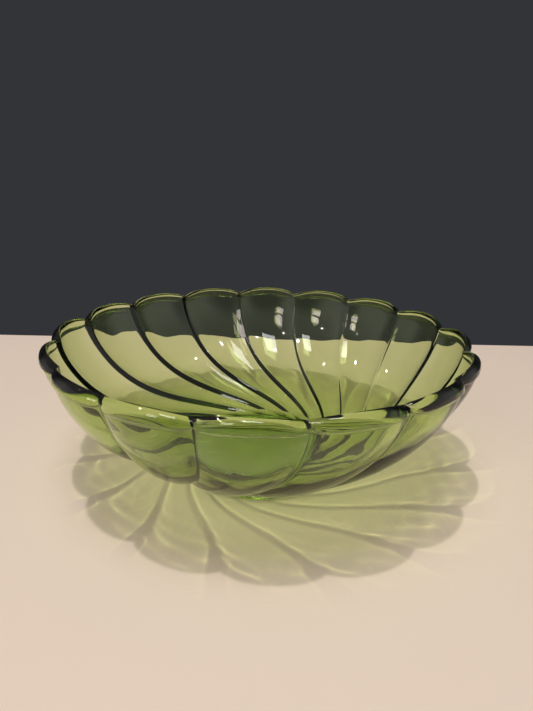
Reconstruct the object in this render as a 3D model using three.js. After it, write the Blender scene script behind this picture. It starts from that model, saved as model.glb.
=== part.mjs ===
// A round serving bowl of pressed green glass: sixteen petals swirl up from a low foot ring to a scalloped
// rim that ends in a thick fire-polished bead. It is one piece of glass, so the model is one solid.
// Millimetres, +Z up, the origin on the bowl's axis in the plane it rests on, the crown of a petal on +X.
import * as THREE from 'three';

// The rim: its notches, and how far each petal stands out and up between two of them.
const petalCount = 16;
const notchRadius = 105;
const notchHeight = 75.2;
const lobeReach = 3.8;
const lobeRise = 3.1;

// The rim's section: its thickness in a notch, the heights of the quarter ellipse that rounds its outside
// over on a crown and in a notch, and the small arc of its inner edge.
const notchThickness = 3;
const crownRounding = 4.3;
const notchRounding = 2.2;
const innerEdgeRadius = 0.4;

// The bead: a band that stands proud round the outside of each petal's top and dies out at the notches.
const beadHeight = 5.4;
const beadReach = 0.8;
const notchFace = 2.6;
const beadFullness = 6;

// The wall where it leaves the foot, measured square to its surface, and the floor at the axis.
const wallThickness = 3.9;
const floorThickness = 6.6;
const floorFlatRadius = 31;

// The foot ring, and the shallow recess that it leaves under the floor.
const footRadius = 42;
const footHeight = 8.3;
const footFaceWidth = 4.3;
const footBevel = 1.2;
const recessDepth = 2;
const recessSlope = 1.5;

// The groove between two petals leaves the foot at this slope, then turns upright by the rim. The pulls are
// how firmly a curve holds each end's direction, on the outside and on the inside.
const groovePitch = THREE.MathUtils.degToRad(21.9);
const footPull = 47.3;
const rimPull = 13.9;
const innerFootPull = 46;
const innerRimPull = 13.5;

// The petals: how far they swell beyond the grooves at the foot and half way up, how full their rounding is,
// and how round the groove's root and the ridge behind it are.
const footSwell = 1.1;
const middleSwell = 4.25;
const petalFullness = 2.4;
const grooveRounding = 0.02;
const ridgeRounding = 0.035;

// The swirl, as the turn in radians between the rim and a smaller radius: a lean that grows with the distance
// in from the rim, and a curl that grows with its cube. The notch runs askew over the rim's thickness.
const swirlLean = 0.27;
const swirlCurl = 3.83;
const notchSkew = 0.02;
const swirlCoreRadius = 33;

// How finely the solid is faceted.
const facetsPerPetal = 8;
const wallSteps = 9;
const underSteps = 2;
const overSteps = 5;
const edgeSteps = 2;
const floorSteps = 4;

const glassColour = 0x7f9440;

/** A curve of the section that leaves its first point at the groove's pitch and meets its last upright. */
function wallLine(foot, firstPull, rim, lastPull) {
  const direction = new THREE.Vector2(Math.cos(groovePitch), Math.sin(groovePitch));
  return new THREE.CubicBezierCurve(
    foot,
    foot.clone().addScaledVector(direction, firstPull),
    new THREE.Vector2(rim.x, notchHeight - lastPull),
    rim,
  );
}

/** The outward normal of a section's curve. */
function outwardNormal(line, along) {
  const tangent = line.getTangent(along);
  return new THREE.Vector2(tangent.y, -tangent.x);
}

// The outside of a groove, from the top of the foot to the notch's top, and the inside, from over the foot to
// the notch's inner edge.
const grooveLine = wallLine(
  new THREE.Vector2(footRadius, footHeight),
  footPull,
  new THREE.Vector2(notchRadius, notchHeight),
  rimPull,
);
const ridgeLine = wallLine(
  grooveLine.getPoint(0).addScaledVector(outwardNormal(grooveLine, 0), -wallThickness),
  innerFootPull,
  new THREE.Vector2(notchRadius - notchThickness, notchHeight - innerEdgeRadius),
  innerRimPull,
);

/** How far the petals swell beyond the grooves, `along` running from 0 at the foot to 1 at the rim. */
function swell(along) {
  const down = 1 - along;
  return down * down * footSwell + 2 * along * down * middleSwell + along * along * lobeReach;
}

/** How far the petals rise above the grooves. Only their tops do. */
function rise(along) {
  return lobeRise * along ** 4;
}

/** The turn of the petals at a radius, back from where they meet the rim. */
function turnAt(radius) {
  const inward = 1 - Math.max(radius, swirlCoreRadius) / notchRadius;
  return -(swirlLean * inward + swirlCurl * inward ** 3);
}

/** The rounding across a petal: 0 at a groove and 1 on the crown, with the groove's root softened. */
function petalRounding(across, softening) {
  const softened = (distance) => Math.hypot(distance, softening) - softening;
  const fromGroove = 1 - Math.abs(2 * across - 1);
  return 1 - (1 - softened(fromGroove) / softened(1)) ** petalFullness;
}

/** The bead's own rounding: it keeps its height along the petal and dies out close to the notches. */
function beadRounding(across) {
  return 1 - Math.abs(2 * across - 1) ** beadFullness;
}

/**
 * A row of the section: its place in a groove, its moves to the crown of a petal and of a bead, its turn, and
 * how far its rounding has gone over from the outside's to the inside's.
 */
function row(place, options = {}) {
  const still = new THREE.Vector2();
  return { place, petal: still, bead: still, turn: turnAt(place.x), inside: 0, ...options };
}

/** A row's move out along its curve's normal by the petal's swell and up by its rise. */
function petalMove(line, along) {
  return outwardNormal(line, along).multiplyScalar(swell(along)).add(new THREE.Vector2(0, rise(along)));
}

/** From the axis over the recess to the foot's resting face and up its outside. It has no petals. */
function undersideRows() {
  const turn = turnAt(footRadius);
  const faceOuter = footRadius - footBevel;
  const faceInner = faceOuter - footFaceWidth;
  const places = [
    [0, recessDepth],
    [faceInner - recessSlope, recessDepth],
    [faceInner, 0],
    [faceOuter, 0],
    [footRadius, footBevel],
  ];
  return places.map(([radius, height]) => row(new THREE.Vector2(radius, height), { turn }));
}

/** The share of the groove's line that lies under a depth below the rim. */
function alongAtDepth(depth) {
  let low = 0;
  let high = 1;
  for (let halving = 0; halving < 30; halving += 1) {
    const middle = (low + high) / 2;
    if (grooveLine.getPoint(middle).y < notchHeight - depth) low = middle;
    else high = middle;
  }
  return low;
}

/** The outside, from the foot to the underside of the bead. The bead's height pushes its top rows down. */
function outerWallRows() {
  const top = alongAtDepth(notchFace);
  return Array.from({ length: wallSteps + 1 }, (_, step) => {
    const along = (top * step) / wallSteps;
    const bead = new THREE.Vector2(0, -(beadHeight - notchFace) * along ** 4);
    return row(grooveLine.getPoint(along), { petal: petalMove(grooveLine, along), bead });
  });
}

/** Angles that part a quarter of a turn into even steps, without its start. */
function quarterTurn(steps) {
  return Array.from({ length: steps }, (_, step) => (Math.PI / 2) * ((step + 1) / steps));
}

/** The rim: round the underside of the bead, up its face, over the top and round the inner edge. */
function rimSection({ radius, top, thickness, face, rounding, reach }) {
  const outer = radius + reach;
  const ledge = outer - thickness + innerEdgeRadius;
  const lip = Math.min(beadReach, (face - rounding) / 2);
  const under = quarterTurn(underSteps).map((angle) => new THREE.Vector2(
    radius + reach * Math.sin(angle),
    top - face + lip * (1 - Math.cos(angle)),
  ));
  const over = [0, ...quarterTurn(overSteps)].map((angle) => new THREE.Vector2(
    ledge + (outer - ledge) * Math.cos(angle),
    top - rounding + rounding * Math.sin(angle),
  ));
  const edge = quarterTurn(edgeSteps).map((angle) => new THREE.Vector2(
    ledge - innerEdgeRadius * Math.sin(angle),
    top - innerEdgeRadius + innerEdgeRadius * Math.cos(angle),
  ));
  return [...under, ...over, ...edge];
}

/** The rim's section at a notch, moved out and up to a petal's crown, with the bead's own shape added. */
function rimRows() {
  const notch = rimSection({
    radius: notchRadius,
    top: notchHeight,
    thickness: notchThickness,
    face: notchFace,
    rounding: notchRounding,
    reach: 0,
  });
  const crown = rimSection({
    radius: notchRadius + lobeReach,
    top: notchHeight + lobeRise,
    thickness: notchThickness + beadReach,
    face: beadHeight,
    rounding: crownRounding,
    reach: beadReach,
  });
  const petal = new THREE.Vector2(lobeReach, lobeRise);
  return notch.map((place, step) => {
    const inside = Math.max(0, (step - underSteps) / (notch.length - 1 - underSteps));
    const bead = crown[step].clone().sub(place).sub(petal);
    return row(place, { petal, bead, inside, turn: turnAt(place.x) - notchSkew * inside });
  });
}

/** The inside of the wall, from the rim down to the floor's edge. */
function innerWallRows() {
  return Array.from({ length: wallSteps }, (_, step) => {
    const along = 1 - (step + 1) / wallSteps;
    const place = ridgeLine.getPoint(along);
    const turn = turnAt(place.x) - notchSkew * along ** 4;
    return row(place, { petal: petalMove(ridgeLine, along), turn, inside: 1 });
  });
}

/** The floor's edge levels out towards the axis, and the petals die out on it. */
function floorRows() {
  const normal = outwardNormal(ridgeLine, 0);
  const level = recessDepth + floorThickness;
  const line = new THREE.QuadraticBezierCurve(
    ridgeLine.getPoint(0),
    new THREE.Vector2(floorFlatRadius, level),
    new THREE.Vector2(0, level),
  );
  return Array.from({ length: floorSteps }, (_, step) => {
    const along = (step + 1) / floorSteps;
    const petal = normal.clone().multiplyScalar(footSwell * (1 - along) ** 4);
    return row(line.getPoint(along), { petal, inside: 1 });
  });
}

/** The closed section spun round the axis, then pressed into petals and turned into the swirl. */
function bowlGeometry() {
  const rows = [
    ...undersideRows(), ...outerWallRows(), ...rimRows(), ...innerWallRows(), ...floorRows(),
  ];
  const columnCount = petalCount * facetsPerPetal;
  const section = rows.map(({ place }) => place);
  const geometry = new THREE.LatheGeometry(section, columnCount);
  const position = geometry.attributes.position;
  for (let index = 0; index < position.count; index += 1) {
    const { place, petal, bead, turn, inside } = rows[index % rows.length];
    const column = Math.floor(index / rows.length) % columnCount;
    const across = (column % facetsPerPetal) / facetsPerPetal;
    const softening = THREE.MathUtils.lerp(grooveRounding, ridgeRounding, inside);
    const pressed = place.clone()
      .addScaledVector(petal, petalRounding(across, softening))
      .addScaledVector(bead, beadRounding(across));
    const angle = (2 * Math.PI * column) / columnCount - Math.PI / petalCount + turn;
    position.setXYZ(index, pressed.x * Math.cos(angle), pressed.x * Math.sin(angle), pressed.y);
  }
  geometry.computeVertexNormals();
  return geometry;
}

const glass = new THREE.MeshStandardMaterial({
  color: glassColour,
  roughness: 0.05,
  metalness: 0,
  transparent: true,
  opacity: 0.5,
});

const bowl = new THREE.Mesh(bowlGeometry(), glass);
bowl.name = 'bowl';

const part = new THREE.Group();
part.add(bowl);

export default part;
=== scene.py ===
"""A swirled serving bowl in clear olive-green pressed glass, on a pale table under soft studio light.
The lamp's light on the table, with the bowl's shadow and caustics, is painted into the table's glow.

The glass is one surface: the closed section of a groove, carried once round the axis and pressed into
petals. Everything is in metres, in the frame's own place and directions.
"""

import math

import bpy
import numpy as np
from mathutils import Matrix, Vector
from mathutils.bvhtree import BVHTree


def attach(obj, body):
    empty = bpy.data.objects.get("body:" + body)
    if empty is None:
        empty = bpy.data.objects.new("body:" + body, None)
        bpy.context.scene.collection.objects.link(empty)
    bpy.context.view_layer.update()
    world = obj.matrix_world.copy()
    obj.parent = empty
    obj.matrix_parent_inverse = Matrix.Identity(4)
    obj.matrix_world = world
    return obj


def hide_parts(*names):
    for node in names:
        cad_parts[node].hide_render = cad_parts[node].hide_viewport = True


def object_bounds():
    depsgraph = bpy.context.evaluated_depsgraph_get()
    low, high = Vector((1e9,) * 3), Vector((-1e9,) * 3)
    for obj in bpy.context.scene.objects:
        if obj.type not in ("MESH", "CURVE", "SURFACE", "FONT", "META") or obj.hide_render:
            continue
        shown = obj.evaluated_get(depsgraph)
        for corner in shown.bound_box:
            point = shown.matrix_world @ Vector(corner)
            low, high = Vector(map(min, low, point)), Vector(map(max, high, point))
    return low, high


MM = 0.001

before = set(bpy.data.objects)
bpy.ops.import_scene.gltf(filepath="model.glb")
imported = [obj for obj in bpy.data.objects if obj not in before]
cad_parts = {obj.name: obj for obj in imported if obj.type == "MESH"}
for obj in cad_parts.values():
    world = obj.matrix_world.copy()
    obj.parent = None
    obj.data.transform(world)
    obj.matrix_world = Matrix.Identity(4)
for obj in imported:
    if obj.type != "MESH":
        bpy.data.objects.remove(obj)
cad_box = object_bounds()
foot_level, rim_top = cad_box[0].z, cad_box[1].z

# The rim: the notches between the petals, and how far a petal stands out and up beyond its notches.
petal_count = 16
notch_radius = 105 * MM
lobe_reach, lobe_rise = 3.8 * MM, 3.1 * MM
notch_height = rim_top - lobe_rise

# The rim's section. Its outside rounds over in a quarter of an ellipse and its inner edge in a small arc.
notch_thickness = 3.0 * MM
inner_edge_radius = 0.4 * MM
crown_rounding, notch_rounding = 4.3 * MM, 2.2 * MM

# The bead, a band that stands proud round the outside of each petal's top. It dies out at the notches,
# where only a plain face as high as notch_face is left. The fuller it is, the closer to them it keeps its
# height.
bead_height, bead_reach = 5.4 * MM, 0.8 * MM
notch_face = 2.6 * MM
bead_fullness = 6

# The wall where it leaves the foot, and the floor at the axis.
wall_thickness, floor_thickness = 3.9 * MM, 6.6 * MM
floor_flat_radius = 31 * MM

# The foot ring and the recess in it.
foot_radius, foot_height, foot_face_width, foot_bevel = 42 * MM, 8.3 * MM, 4.3 * MM, 1.2 * MM
recess_depth, recess_slope = 2 * MM, 1.5 * MM

# The groove between two petals leaves the foot at this pitch and meets the rim upright. The pulls are how
# firmly a curve holds each end's direction, on the outside and on the inside.
groove_pitch = math.radians(21.9)
foot_pull, rim_pull = 47.3 * MM, 13.9 * MM
inner_foot_pull, inner_rim_pull = 46 * MM, 13.5 * MM

# How the petals swell beyond the grooves, at the foot and half way up, how full their rounding is, and
# how round the groove's root outside and the ridge's back inside are.
foot_swell, middle_swell = 1.1 * MM, 4.25 * MM
petal_fullness = 2.4
groove_rounding, ridge_rounding = 0.02, 0.035

# The slow ripple that the mould leaves in the walls: its depth, its shortest and longest waves, their
# number and the seed of their directions.
ripple_depth = 0.06 * MM
ripple_lengths = (9 * MM, 26 * MM)
ripple_waves, ripple_seed = 14, 7

# The swirl, as the turn in radians between the rim and a smaller radius, and the notch's own skew over
# the rim's thickness. Inside the core's radius the petals turn no further.
swirl_lean, swirl_curl = 0.27, 3.83
notch_skew = 0.02
swirl_core_radius = 33 * MM

# The steps in each stretch of the section, and the columns in a petal, which crowd towards its grooves.
recess_steps, slope_steps, face_steps, bevel_steps = 7, 5, 3, 6
outer_wall_steps, inner_wall_steps, floor_steps = 45, 42, 12
under_steps, over_steps, edge_steps = 5, 11, 5
columns_per_petal, crowding = 42, 0.6

# The glass: how much it bends light, the faint tint of its skin, and the tint and density of its body,
# which say how much of red, green and blue it takes out in each metre.
glass_ior = 1.52
surface_tint = "#f2f8de"
glass_tint, glass_density = "#d6e68b", 213.0

# The glass's skin: the width and depth of its orange peel, and the wear on the foot's face, with the
# heights that it keeps its full strength up to and is gone by.
peel_width, peel_depth = 6 * MM, 0.012 * MM
scuff_width, foot_roughness = 1.5 * MM, 0.6
wear_full, wear_gone = 0.05 * MM, 0.5 * MM

# The table: its colour and roughness, how far it reaches to each side, in front and behind, and the gap
# that keeps its surface clear of the foot's.
table_colour, table_roughness = "#d2c0b0", 0.6
table_side, table_front, table_behind = 1.6, 1.2, 224 * MM
table_gap = 0.02 * MM

# The part of the table that the lamp's painted light falls on, with the bowl's painted shadow and
# caustics, how many lines its grid has each way, and the lamp's share of the light there, which is the
# strength of the table's painted glow.
painted_light_side, painted_light_lines = 180 * MM, 481
painted_lamp_share = 0.335

# The rays that are followed from the lamp through the glass: how many each way, through how many
# surfaces, how far beyond the notches and over the rim their sheaf starts, how far a ray is nudged off a
# surface, and how steeply it must fall to count.
ray_count, surfaces_followed = 850, 6
sheaf_margin, sheaf_gap = 18 * MM, 2 * MM
ray_nudge = 0.001 * MM
least_fall = 0.05


def linear(hex_colour):
    """An sRGB hex colour as linear RGB with alpha 1."""
    channels = [int(hex_colour[i : i + 2], 16) / 255 for i in (1, 3, 5)]
    return [c / 12.92 if c <= 0.04045 else ((c + 0.055) / 1.055) ** 2.4 for c in channels] + [1.0]


def around(azimuth, elevation, distance):
    """A place seen from the bowl: azimuth in degrees from the camera's side towards +X."""
    a, e = math.radians(azimuth), math.radians(elevation)
    return Vector((math.sin(a) * math.cos(e), -math.cos(a) * math.cos(e), math.sin(e))) * distance


# What the glass takes from each colour in a metre, and what a surface lets through. Light crosses two
# surfaces to get through a wall, so each takes the square root of the skin's tint.
absorption = (1 - np.array(linear(glass_tint)[:3])) * glass_density
surface_share = np.sqrt(linear(surface_tint)[:3])

# The small ceiling lamps, by their azimuth and elevation. The light, shadow and caustics painted on the
# table are the first one's.
lamp_directions = ((-24, 75), (60, 66), (-100, 62), (-55, 50))
lamp_distance = 1.1
lamp_places = [around(azimuth, elevation, lamp_distance) for azimuth, elevation in lamp_directions]


# ---- the section of a groove ----


def bezier(points, along):
    """Points at along (0 to 1) on the Bezier curve of these control points, by repeated blending."""
    points = [np.array(p, float)[None, :] for p in points]
    while len(points) > 1:
        points = [a + (b - a) * along[:, None] for a, b in zip(points, points[1:])]
    return points[0]


def wall_points(foot, first_pull, rim, last_pull):
    """Control points of a curve that leaves the foot at the groove's pitch and meets the rim upright."""
    upward = (
        foot[0] + first_pull * math.cos(groove_pitch),
        foot[1] + first_pull * math.sin(groove_pitch),
    )
    return [foot, upward, (rim[0], notch_height - last_pull), rim]


# The outside of a groove, from the top of the foot to the notch's top, and the ridge inside it, from a
# wall's thickness over the foot to the notch's inner edge.
groove_foot = (foot_radius, foot_level + foot_height)
groove_points = wall_points(groove_foot, foot_pull, (notch_radius, notch_height), rim_pull)
ridge_points = wall_points(
    (
        groove_foot[0] - wall_thickness * math.sin(groove_pitch),
        groove_foot[1] + wall_thickness * math.cos(groove_pitch),
    ),
    inner_foot_pull,
    (notch_radius - notch_thickness, notch_height - inner_edge_radius),
    inner_rim_pull,
)


def line(points, along):
    """A curve of the section at along (0 at the foot, 1 at the rim): its places and its outward normals,
    which are square to the way from a little before each place to a little after it."""
    little = 1e-4
    places = bezier(points, along)
    tangent = bezier(points, along + little) - bezier(points, along - little)
    tangent /= np.linalg.norm(tangent, axis=1, keepdims=True)
    return places, np.stack([tangent[:, 1], -tangent[:, 0]], axis=1)


def along_at_depth(depth):
    """The share of the groove's line that lies more than this depth below the notches' tops."""
    sample_count = 4001
    along = np.linspace(0, 1, sample_count)
    return float(np.interp(notch_height - depth, bezier(groove_points, along)[:, 1], along))


def swell(along):
    """The petals' swell beyond the grooves: a quadratic Bezier of the foot's, the middle's and the rim's."""
    down = 1 - along
    return down**2 * foot_swell + 2 * along * down * middle_swell + along**2 * lobe_reach


def turn_at(radius):
    """The petals' turn back from the rim: a lean in the distance inward and a curl in its cube."""
    inward = 1 - np.maximum(radius, swirl_core_radius) / notch_radius
    return -(swirl_lean * inward + swirl_curl * inward**3)


def rows(places, petal=(0, 0), bead=(0, 0), turn=None, inside=0.0, ripple=0.0):
    """Rows of the section. Each has its place in a groove, its moves out and up to a petal's crown and to
    the bead's, its turn, how far its rounding has gone over from the outside's to the inside's, and its
    share of the ripple."""
    count = len(places)
    moves = [np.broadcast_to(np.asarray(move, float), (count, 2)) for move in (petal, bead)]
    turn = turn_at(places[:, 0]) if turn is None else turn
    columns = [np.broadcast_to(np.asarray(value, float), count) for value in (turn, inside, ripple)]
    return np.column_stack([places, *moves, *columns])


def arc(centre, radius, start, end, steps):
    """Points on a circle's arc between two angles in degrees, without the first."""
    angle = np.radians(np.linspace(start, end, steps + 1)[1:])
    return np.stack([centre[0] + radius * np.cos(angle), centre[1] + radius * np.sin(angle)], axis=1)


def underside_rows():
    """Out from the axis under the floor, down the recess's slope, over the foot's flat face and round its
    bevel. The slope leaves the recess level, on a quadratic Bezier. The foot is plain and round."""
    outer = foot_radius - foot_bevel
    inner = outer - foot_face_width
    recess = foot_level + recess_depth
    slope_start = inner - recess_slope
    slope_bend = inner - 0.3 * recess_slope
    flat = np.array([(r, recess) for r in np.linspace(0, slope_start, recess_steps + 1)])
    slope = bezier(
        [(slope_start, recess), (slope_bend, recess), (inner, foot_level)],
        np.linspace(0, 1, slope_steps + 1)[1:],
    )
    face = np.array([(r, foot_level) for r in np.linspace(inner, outer, face_steps + 1)[1:]])
    bevel = arc((outer, foot_level + foot_bevel), foot_bevel, -90, 0, bevel_steps)
    return rows(np.concatenate([flat, slope, face, bevel]), turn=turn_at(foot_radius))


def out_and_up(normals, out, up):
    """Moves along the normals by out, and up by a rise."""
    return normals * out[:, None] + np.stack([np.zeros_like(out), up], axis=1)


def fading(along):
    """1 half way along and 0 at both ends, as a parabola."""
    return 4 * along * (1 - along)


def outer_wall_rows():
    """Up the outside from the foot to the underside of the bead, swelling along its normals. The petals'
    rise and the bead's own height, which pushes the last rows down, both grow with the fourth power."""
    along = np.linspace(0, along_at_depth(notch_face), outer_wall_steps + 1)
    places, normals = line(groove_points, along)
    petal = out_and_up(normals, swell(along), lobe_rise * along**4)
    bead = out_and_up(normals, 0 * along, -(bead_height - notch_face) * along**4)
    return rows(places, petal, bead, ripple=fading(along))


def rim_section(radius, top, thickness, face, rounding, reach):
    """Round the underside of the bead, up its face, over the top in a quarter of an ellipse as high as
    the rounding, and round the inner edge in a small arc."""
    outer = radius + reach
    low = np.linspace(0, math.pi / 2, under_steps + 1)[1:]
    lip = min(bead_reach, 0.5 * (face - rounding))
    under = np.stack([radius + reach * np.sin(low), top - face + lip * (1 - np.cos(low))], axis=1)
    ledge = outer - thickness + inner_edge_radius
    turn = np.linspace(0, math.pi / 2, over_steps + 1)
    over = np.stack([
        ledge + (outer - ledge) * np.cos(turn),
        top - rounding + rounding * np.sin(turn),
    ], axis=1)
    edge = arc((ledge, top - inner_edge_radius), inner_edge_radius, 90, 180, edge_steps)
    return np.concatenate([under, over, edge])


def rim_rows():
    """The rim's section at a notch, moved out and up to a petal's crown, with the bead's own shape added."""
    notch = rim_section(notch_radius, notch_height, notch_thickness, notch_face, notch_rounding, 0)
    crown_thickness = notch_thickness + bead_reach
    crown = rim_section(
        notch_radius + lobe_reach, rim_top, crown_thickness, bead_height, crown_rounding, bead_reach
    )
    petal = (lobe_reach, lobe_rise)
    over = np.concatenate([np.zeros(under_steps), np.linspace(0, 1, len(notch) - under_steps)])
    turn = turn_at(notch[:, 0]) - notch_skew * over
    return rows(notch, petal, crown - notch - petal, turn, over)


def inner_wall_rows():
    """Down the inside, which follows the outside's petals, with its ridges rounder."""
    along = np.linspace(1, 0, inner_wall_steps + 1)[1:]
    places, normals = line(ridge_points, along)
    turn = turn_at(places[:, 0]) - notch_skew * along**4
    petal = out_and_up(normals, swell(along), lobe_rise * along**4)
    return rows(places, petal, turn=turn, inside=1.0, ripple=fading(along))


def floor_rows():
    """The floor levels out from the wall's foot to the axis on a quadratic Bezier, and the petals die out
    on it with the fourth power."""
    (edge,), normal = line(ridge_points, np.zeros(1))
    level = foot_level + recess_depth + floor_thickness
    along = np.linspace(0, 1, floor_steps + 1)[1:]
    places = bezier([edge, (floor_flat_radius, level), (0, level)], along)
    fade = foot_swell * (1 - along) ** 4
    return rows(places, normal * fade[:, None], inside=1.0)


# ---- the pressed glass ----


def petal_rounding(across, rounding):
    """0 at a groove and 1 on the crown. The distance from the groove is softened by a hyperbola, which
    gives the groove's root or the ridge's back its radius."""
    from_groove = 1 - np.abs(2 * across - 1)
    softened = np.hypot(from_groove, rounding) - rounding
    return 1 - (1 - softened / (math.hypot(1, rounding) - rounding)) ** petal_fullness


def ripple(places):
    """The mould's ripple at these places: a sum of plane waves in many directions, seeded."""
    chance = np.random.default_rng(ripple_seed)
    total = np.zeros(places.shape[:-1])
    for length in np.geomspace(*ripple_lengths, ripple_waves):
        direction = chance.normal(size=3)
        direction /= np.linalg.norm(direction)
        total += length * np.sin(math.tau * (places @ direction / length + chance.random()))
    return total / (ripple_lengths[1] * math.sqrt(ripple_waves / 2)) * ripple_depth


def bowl_points():
    """Vertices of the bowl, as the section's rows by columns round the axis. Each is its row's place in a
    groove, moved towards the crown by the petal's rounding and towards the bead by the bead's, turned by
    the swirl, and pushed out by the ripple. Columns crowd towards the grooves, by a share of a cosine."""
    section = np.concatenate([
        underside_rows(), outer_wall_rows(), rim_rows(), inner_wall_rows(), floor_rows(),
    ])
    radius, height, petal_out, petal_up, bead_out, bead_up, turn, inside, rippled = section.T[:, :, None]
    even = np.arange(columns_per_petal) / columns_per_petal
    across = (1 - crowding) * even + crowding * (0.5 - 0.5 * np.cos(math.pi * even))
    across = np.tile(across, petal_count)[None, :]
    petal = np.repeat(np.arange(petal_count), columns_per_petal)[None, :]
    angle = (petal + across - 0.5) * math.tau / petal_count + turn
    outer = petal_rounding(across, groove_rounding)
    inner = petal_rounding(across, ridge_rounding)
    pressed = outer + (inner - outer) * inside
    beaded = 1 - np.abs(2 * across - 1) ** bead_fullness
    reach = radius + petal_out * pressed + bead_out * beaded
    rise = height + petal_up * pressed + bead_up * beaded
    still = np.stack([reach * np.cos(angle), reach * np.sin(angle), rise + 0 * angle], axis=-1)
    # The two sides of the wall read the ripple a long wave apart on each axis, so they differ.
    side = np.where(inside > 0.5, 1, -1) * 0.5 * ripple_lengths[1]
    reach = reach + rippled * ripple(still + side[..., None])
    return np.stack([reach * np.cos(angle), reach * np.sin(angle), rise + 0 * angle], axis=-1)


def closed_mesh(name, points):
    """A mesh of a grid that closes round its columns, with its first and last rows drawn to single
    points."""
    row_count, column_count = points.shape[:2]
    body = points[1:-1]
    vertices = np.concatenate([points[:1, 0], body.reshape(-1, 3), points[-1:, 0]])
    index = np.arange(body.shape[0] * column_count).reshape(body.shape[:2]) + 1
    ahead = np.roll(index, -1, axis=1)
    quads = np.stack([index[:-1], ahead[:-1], ahead[1:], index[1:]], axis=-1).reshape(-1, 4)
    last = len(vertices) - 1
    start = np.stack([ahead[0], index[0], np.zeros(column_count, int)], axis=-1)
    end = np.stack([index[-1], ahead[-1], np.full(column_count, last)], axis=-1)
    mesh = bpy.data.meshes.new(name)
    mesh.from_pydata(vertices.tolist(), [], quads.tolist() + start.tolist() + end.tolist())
    mesh.polygons.foreach_set("use_smooth", np.ones(len(mesh.polygons), bool))
    mesh.update()
    return mesh


# ---- the lamp's light through the glass ----


def mesh_arrays(mesh):
    """A mesh's places, smooth normals and triangles as arrays."""
    mesh.calc_loop_triangles()
    places, normals = (np.empty(len(mesh.vertices) * 3, np.float32) for _ in range(2))
    triangles = np.empty(len(mesh.loop_triangles) * 3, np.int32)
    mesh.vertices.foreach_get("co", places)
    mesh.vertices.foreach_get("normal", normals)
    mesh.loop_triangles.foreach_get("vertices", triangles)
    return [a.reshape(-1, 3) for a in (places, normals, triangles)]


def normals_at(points, corners, corner_normals):
    """Normals at points on triangles, shared out by the area that each corner has opposite it, which is
    half the length of a cross product. The half drops out when the normals are made one long."""
    a, b, c = (corners[:, i] for i in range(3))

    def area(p, q, r):
        return np.linalg.norm(np.cross(q - p, r - p), axis=1)

    shares = np.stack([area(points, b, c), area(a, points, c), area(a, b, points)], axis=1)
    mixed = np.einsum("nc,ncx->nx", shares, corner_normals)
    return mixed / np.linalg.norm(mixed, axis=1, keepdims=True)


def refract(heading, normals, inside):
    """Snell's law at a glass surface. Where the light can't leave the glass it is mirrored instead.
    Returns the new headings, which rays are now inside, and the share that gets through, by Schlick's
    formula for Fresnel's law."""
    facing = np.where(inside[:, None], -normals, normals)
    cosine = -np.sum(heading * facing, axis=1)
    ratio = np.where(inside, glass_ior, 1 / glass_ior)
    square = 1 - ratio**2 * (1 - cosine**2)
    mirrored = square < 0
    beyond = np.sqrt(np.maximum(square, 0))
    bent = ratio[:, None] * heading + (ratio * cosine - beyond)[:, None] * facing
    bounced = heading + 2 * cosine[:, None] * facing
    grazing = np.clip(1 - np.minimum(np.abs(cosine), np.where(inside, beyond, 1)), 0, 1)
    straight = ((glass_ior - 1) / (glass_ior + 1)) ** 2
    passed = np.where(mirrored, 1, (1 - straight) * (1 - grazing**5))
    return np.where(mirrored[:, None], bounced, bent), inside ^ ~mirrored, passed


def follow_rays(mesh, lamp, start):
    """Follows a lamp's rays down to the table, from the places in start. Each is bent at every glass
    surface and fades on its way inside by Beer's law. Returns where they land and the red, green and blue
    shares of their light that arrive. A ray that stays in the glass or hardly falls is lost."""
    places, normals, triangles = mesh_arrays(mesh)
    tree = BVHTree.FromPolygons(places.tolist(), triangles.tolist())
    start = start.copy()
    heading = start - np.array(lamp)
    heading /= np.linalg.norm(heading, axis=1, keepdims=True)
    light = np.ones((len(start), 3))
    inside = np.zeros(len(start), bool)
    moving = np.flatnonzero(np.hypot(start[:, 0], start[:, 1]) < notch_radius + sheaf_margin)
    for _ in range(surfaces_followed):
        found = [tree.ray_cast(o, d) for o, d in zip(start[moving].tolist(), heading[moving].tolist())]
        struck = np.array([-1 if f[2] is None else f[2] for f in found])
        travelled = np.array([f[3] or 0.0 for f in found])[struck >= 0]
        moving, struck = moving[struck >= 0], struck[struck >= 0]
        within = inside[moving]
        light[moving] *= np.where(within[:, None], np.exp(-travelled[:, None] * absorption), 1)
        start[moving] += travelled[:, None] * heading[moving]
        corners = triangles[struck]
        surface = normals_at(start[moving], places[corners], normals[corners])
        heading[moving], inside[moving], passed = refract(heading[moving], surface, within)
        crossed = inside[moving] ^ within
        light[moving] *= passed[:, None] * np.where(crossed[:, None], surface_share, 1)
        start[moving] += heading[moving] * ray_nudge
    fall = np.minimum(heading[:, 2], -least_fall)
    light[inside | (heading[:, 2] > -least_fall)] = 0
    return start + heading * ((foot_level - start[:, 2]) / fall)[:, None], light


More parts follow.
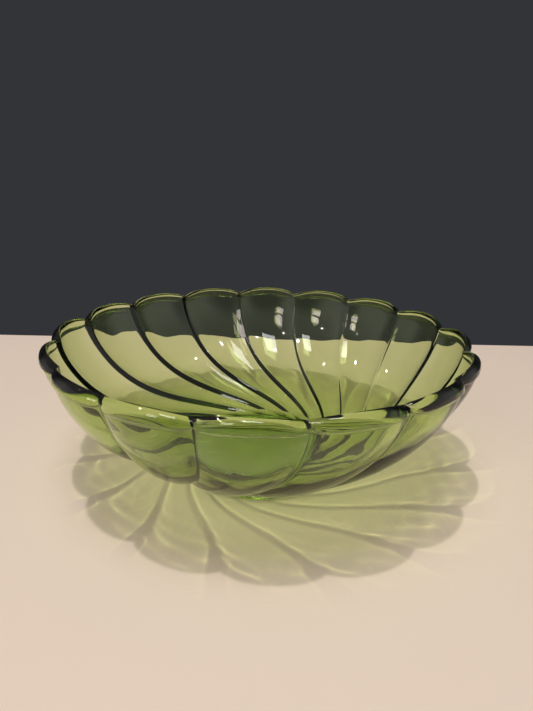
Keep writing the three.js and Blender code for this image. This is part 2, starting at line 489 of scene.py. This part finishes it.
def light_on_table(mesh, lamp, lines):
    """How much of a small lamp's light reaches each crossing of an even grid on the table, as red, green
    and blue shares of what would reach it with no bowl there. The grid's lines are the same both ways. A
    square sheaf of rays starts just over the rim, and each leaves its light at the four crossings nearest
    to where it lands, shared out by nearness. Outside the sheaf's own patch the light is whole. At the
    end each crossing takes a sixth of its light from each neighbour, first one way and then the other."""
    top = rim_top + sheaf_gap
    half_width = notch_radius + sheaf_margin
    spread = np.linspace(-half_width, half_width, ray_count)
    sheaf = [grid.ravel() for grid in np.meshgrid(spread, spread)]
    start = np.stack([*sheaf, np.full(ray_count**2, top)], axis=1)
    landed, light = follow_rays(mesh, lamp, start)

    step = lines[1] - lines[0]
    count = len(lines)
    widening = (lamp[2] - foot_level) / (lamp[2] - top)
    share = (2 * half_width / ray_count * widening / step) ** 2
    column, row = (landed[:, 0] - lines[0]) / step, (landed[:, 1] - lines[0]) / step
    total = np.zeros((count, count, 3))
    for down in (0, 1):
        for right in (0, 1):
            near_row = np.floor(row).astype(int) + down
            near_column = np.floor(column).astype(int) + right
            weight = (1 - np.abs(row - near_row)) * (1 - np.abs(column - near_column)) * share
            kept = (near_row >= 0) & (near_row < count) & (near_column >= 0) & (near_column < count)
            crossing = (near_row * count + near_column)[kept]
            for channel in range(3):
                left = np.bincount(crossing, (weight * light[:, channel])[kept], count**2)
                total[:, :, channel] += left.reshape(count, count)
    reach = half_width * widening - 2 * step
    across, along = (np.abs(lines - side * (1 - widening)) < reach for side in lamp[:2])
    total = np.where((along[:, None] & across[None, :])[..., None], total, 1)
    for axis in (0, 1):
        total = (np.roll(total, 1, axis) + 4 * total + np.roll(total, -1, axis)) / 6
    return total


# ---- materials ----

# A Mix node's outputs are a number, a vector and then a colour.
mixed_colour = 2


def node(tree, kind, settings=None, **links):
    """Adds a node, sets its properties, and fills its inputs, which go by their names or their
    identifiers, with values or other nodes' sockets."""
    made = tree.nodes.new(kind)
    for key, value in (settings or {}).items():
        setattr(made, key, value)
    for key, value in links.items():
        socket = next(s for s in made.inputs if key in (s.name.replace(" ", "_"), s.identifier))
        if isinstance(value, bpy.types.NodeSocket):
            tree.links.new(value, socket)
        else:
            socket.default_value = value
    return made


def new_material(name):
    """An empty node material and its output node."""
    material = bpy.data.materials.new(name)
    material.use_nodes = True
    material.node_tree.nodes.clear()
    return material, material.node_tree, node(material.node_tree, "ShaderNodeOutputMaterial")


def green_glass():
    """Soda-lime glass coloured olive green, pressed and fire-polished. It is clear and nearly colourless
    where it is thin, and the green deepens with the way that light has to go through it. Fire polishing
    leaves a faint orange peel all over, and the foot's face is dull where it has slid on tables."""
    material, tree, output = new_material("soda_lime_glass_olive")
    place = node(tree, "ShaderNodeTexCoord").outputs["Object"]
    height = node(tree, "ShaderNodeSeparateXYZ", Vector=place).outputs["Z"]
    wear = node(tree, "ShaderNodeTexNoise", Vector=place, Scale=1 / scuff_width, Detail=4.0)
    worn = node(
        tree,
        "ShaderNodeMapRange",
        Value=height,
        From_Min=foot_level + wear_full,
        From_Max=foot_level + wear_gone,
        To_Min=foot_roughness,
        To_Max=0.0,
    )
    roughness = node(
        tree,
        "ShaderNodeMath",
        {"operation": "MULTIPLY"},
        Value=worn.outputs["Result"],
        Value_001=wear.outputs["Fac"],
    )
    peel = node(tree, "ShaderNodeTexNoise", Vector=place, Scale=1 / peel_width, Detail=2.0)
    skin = node(tree, "ShaderNodeBump", Height=peel.outputs["Fac"], Strength=1.0, Distance=peel_depth)
    surface = node(
        tree,
        "ShaderNodeBsdfPrincipled",
        Base_Color=linear(surface_tint),
        Roughness=roughness.outputs["Value"],
        Normal=skin.outputs["Normal"],
        IOR=glass_ior,
        Transmission_Weight=1.0,
    )
    volume = node(tree, "ShaderNodeVolumeAbsorption", Color=linear(glass_tint), Density=glass_density)
    tree.links.new(surface.outputs["BSDF"], output.inputs["Surface"])
    tree.links.new(volume.outputs["Volume"], output.inputs["Volume"])
    return material


def table_with_painted_light():
    """A pale, matt laminate table top. The lamp's light on it, with the bowl's shadow and caustics, is
    painted light: an attribute of the table that its glow shows.
    """
    material, tree, output = new_material("matt_laminate_pale")
    pale = linear(table_colour)
    lamp = node(tree, "ShaderNodeAttribute", {"attribute_name": "lamp_light"})
    painted_light_colour = node(
        tree,
        "ShaderNodeMix",
        {"data_type": "RGBA", "blend_type": "MULTIPLY"},
        Factor=1.0,
        A_Color=lamp.outputs["Color"],
        B_Color=pale,
    )
    # Painted light: the table glows with the lamp's light, the bowl's shadow and its caustics, traced
    # through the glass beforehand.
    surface = node(
        tree,
        "ShaderNodeBsdfPrincipled",
        Base_Color=pale,
        Roughness=table_roughness,
        Emission_Color=painted_light_colour.outputs[mixed_colour],
        Emission_Strength=painted_lamp_share,
    )
    tree.links.new(surface.outputs["BSDF"], output.inputs["Surface"])
    return material


# ---- the stage ----


def table_top(bowl_mesh, lamp):
    """A table top under the bowl, with its far edge a short way behind. It is a fine even grid round the
    bowl, which carries the lamp's painted light, with the bowl's painted shadow and caustics, and its
    outermost squares reach to the table's edges."""
    lines = np.linspace(-painted_light_side, painted_light_side, painted_light_lines)
    shares = np.pad(light_on_table(bowl_mesh, lamp, lines), ((1, 1), (1, 1), (0, 0)), constant_values=1)
    x, y = np.meshgrid(
        np.concatenate([[-table_side], lines, [table_side]]),
        np.concatenate([[-table_front], lines, [table_behind]]),
    )
    level = np.full_like(x, foot_level - table_gap)
    row_count, column_count = x.shape
    index = np.arange(row_count * column_count).reshape(x.shape)
    quads = np.stack([index[:-1, :-1], index[:-1, 1:], index[1:, 1:], index[1:, :-1]], axis=-1)
    mesh = bpy.data.meshes.new("table_top")
    mesh.from_pydata(np.stack([x, y, level], axis=-1).reshape(-1, 3), [], quads.reshape(-1, 4))
    # The lamp's light, the bowl's shadow and its caustics, painted on the table as an attribute that its
    # glow reads.
    light = mesh.attributes.new("lamp_light", "FLOAT_COLOR", "POINT")
    opaque = np.concatenate([shares, np.ones((row_count, column_count, 1))], axis=-1)
    light.data.foreach_set("color", opaque.ravel())
    mesh.materials.append(table_with_painted_light())
    table = bpy.data.objects.new("table_top", mesh)
    bpy.context.collection.objects.link(table)


def area_light(name, place, aim, size, power, colour="#ffffff"):
    """A flat rectangular light at a place, facing a point, as wide and high as size says."""
    data = bpy.data.lights.new(name, "AREA")
    data.shape, data.energy = "RECTANGLE", power
    data.size, data.size_y = size
    data.color = linear(colour)[:3]
    lamp = bpy.data.objects.new(name, data)
    lamp.location = place
    lamp.rotation_euler = (Vector(aim) - Vector(place)).to_track_quat("-Z", "Y").to_euler()
    bpy.context.collection.objects.link(lamp)
    return lamp


def surroundings():
    """The room, as a glow that depends on the direction: dim straight in front of the bowl, pale to the
    sides, nearly black behind it and grey overhead. Each colour takes over from the ones before it along
    an axis."""
    world = bpy.data.worlds.new("studio")
    bpy.context.scene.world = world
    world.use_nodes = True
    tree = world.node_tree
    tree.nodes.clear()
    direction = node(tree, "ShaderNodeTexCoord").outputs["Generated"]
    axes = node(tree, "ShaderNodeSeparateXYZ", Vector=direction)
    colour = linear("#45423f")
    for axis, start, end, next_colour in (
        ("Y", -0.95, -0.6, "#c4c1bd"),
        ("Y", 0.1, 0.6, "#333438"),
        ("Z", 0.35, 0.85, "#8a8784"),
    ):
        share = node(
            tree,
            "ShaderNodeMapRange",
            {"interpolation_type": "SMOOTHSTEP"},
            Value=axes.outputs[axis],
            From_Min=start,
            From_Max=end,
        )
        mixed = node(
            tree,
            "ShaderNodeMix",
            {"data_type": "RGBA"},
            Factor=share.outputs["Result"],
            A_Color=colour,
            B_Color=linear(next_colour),
        )
        colour = mixed.outputs[mixed_colour]
    glow = node(tree, "ShaderNodeBackground", Color=colour, Strength=1.0)
    node(tree, "ShaderNodeOutputWorld", Surface=glow.outputs["Background"])


def studio(bowl):
    """The lights: a softbox that glass doesn't mirror or show, a ceiling panel, a window of four panes,
    and small ceiling lamps that sparkle on the bowl. The lamps light nothing else, because the first
    one's light on the table, with the bowl's shadow and caustics, is painted into the table's glow."""
    surroundings()
    middle = Vector((0, 0, notch_height / 2))
    ceiling = 1.3
    softbox_place = around(*lamp_directions[0], ceiling)
    softbox = area_light("softbox", softbox_place, middle, size=(0.6, 0.6), power=4.9)
    softbox.visible_glossy = False
    softbox.visible_transmission = False
    area_light("ceiling_panel", around(0, 72.5, ceiling), middle, size=(0.4, 0.33), power=3.4)
    window_azimuth, window_elevation, window_distance = -34, 38, 1.8
    pane_apart, pane_above, pane_size = 9, 10, (0.24, 0.24)
    for pane in range(4):
        azimuth = window_azimuth + pane_apart * (pane % 2 - 0.5)
        elevation = window_elevation + pane_above * (pane // 2 - 0.5)
        place = around(azimuth, elevation, window_distance)
        area_light(f"window_pane_{pane}", place, middle, pane_size, power=1.2, colour="#fff0ee")
    glass_only = bpy.data.collections.new("lit_by_the_lamps")
    glass_only.objects.link(bowl)
    for number, place in enumerate(lamp_places):
        lamp = area_light(f"ceiling_lamp_{number + 1}", place, middle, size=(0.022, 0.022), power=2.2)
        lamp.light_linking.receiver_collection = glass_only
        lamp.visible_transmission = False


def camera_view():
    """The camera: in front of the bowl and above its rim, looking down, with a slight roll. It stands
    back, aside and up by multiples of the rim's radius. Its pitch and roll are in radians."""
    distance, sideways, height = 2.458 * notch_radius, 0.013 * notch_radius, 0.75 * notch_radius
    stand_turn, heading = math.radians(1.01), math.radians(0.643)
    pitch, roll = 0.339, 0.0179
    data = bpy.data.cameras.new("camera")
    data.lens = 25.53
    data.clip_start, data.clip_end = 0.01, 20
    camera = bpy.data.objects.new("camera", data)
    stand = Matrix.Rotation(stand_turn, 4, "Z") @ Vector((sideways, -distance, notch_height + height))
    camera.matrix_world = (
        Matrix.Translation(stand)
        @ Matrix.Rotation(heading, 4, "Z")
        @ Matrix.Rotation(math.pi / 2 - pitch, 4, "X")
        @ Matrix.Rotation(roll, 4, "Z")
    )
    bpy.context.collection.objects.link(camera)
    bpy.context.scene.camera = camera


def glass_bowl():
    """The bowl itself, which stands for the CAD's solid."""
    mesh = closed_mesh("bowl_glass", bowl_points())
    mesh.materials.append(green_glass())
    bowl = bpy.data.objects.new("bowl_glass", mesh)
    bpy.context.collection.objects.link(bowl)
    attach(bowl, "root")
    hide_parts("bowl")
    return bowl


bowl = glass_bowl()
table_top(bowl.data, lamp_places[0])
studio(bowl)
camera_view()

# Light crosses both sides of the bowl's walls several times over.
bounces = 24
cycles = bpy.context.scene.cycles
cycles.max_bounces = bounces
cycles.transmission_bounces = bounces
bpy.context.scene.view_settings.view_transform = "Standard"
